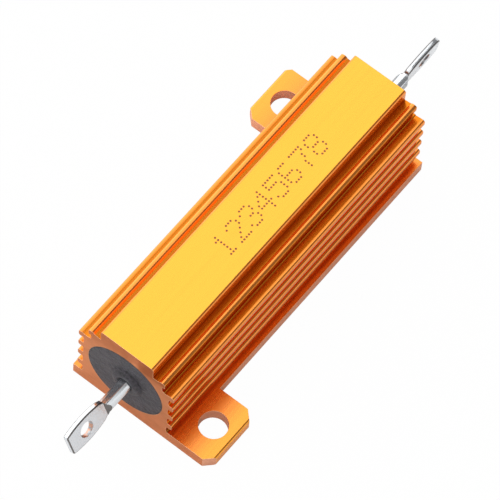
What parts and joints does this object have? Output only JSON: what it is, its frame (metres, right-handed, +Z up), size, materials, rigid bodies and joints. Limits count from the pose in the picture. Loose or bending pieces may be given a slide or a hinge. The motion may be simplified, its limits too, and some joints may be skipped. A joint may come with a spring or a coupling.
{
  "type": "aluminium housed power resistor",
  "caption": "Wirewound power resistor in a finned aluminium housing with fixing feet at opposite corners and a flat solder terminal with an eye at each end.",
  "frame": {"origin": "on the underside of the base, midway between the two fixing holes", "axes": "+X across the housing towards the near foot, +Y along the housing and its terminals, +Z up from the mounting face"},
  "size_m": [0.0272, 0.0732, 0.0158],
  "materials": {
    "anodised_housing": "orange gold anodised, satin",
    "moulding_compound": "matt, fine grained",
    "ceramic_core": "fired, unglazed",
    "resistance_wire": "drawn wire, dull",
    "end_cap": "pressed, satin",
    "tinned_terminal": "bright tinned"
  },
  "bodies": {
    "root": {"housing": "anodised_housing", "moulding_compound": "moulding_compound", "ceramic_core": "ceramic_core", "resistance_wire": "resistance_wire", "end_cap_near": "end_cap", "end_cap_far": "end_cap", "terminal_near": "tinned_terminal", "terminal_far": "tinned_terminal"}
  },
  "joints": []
}
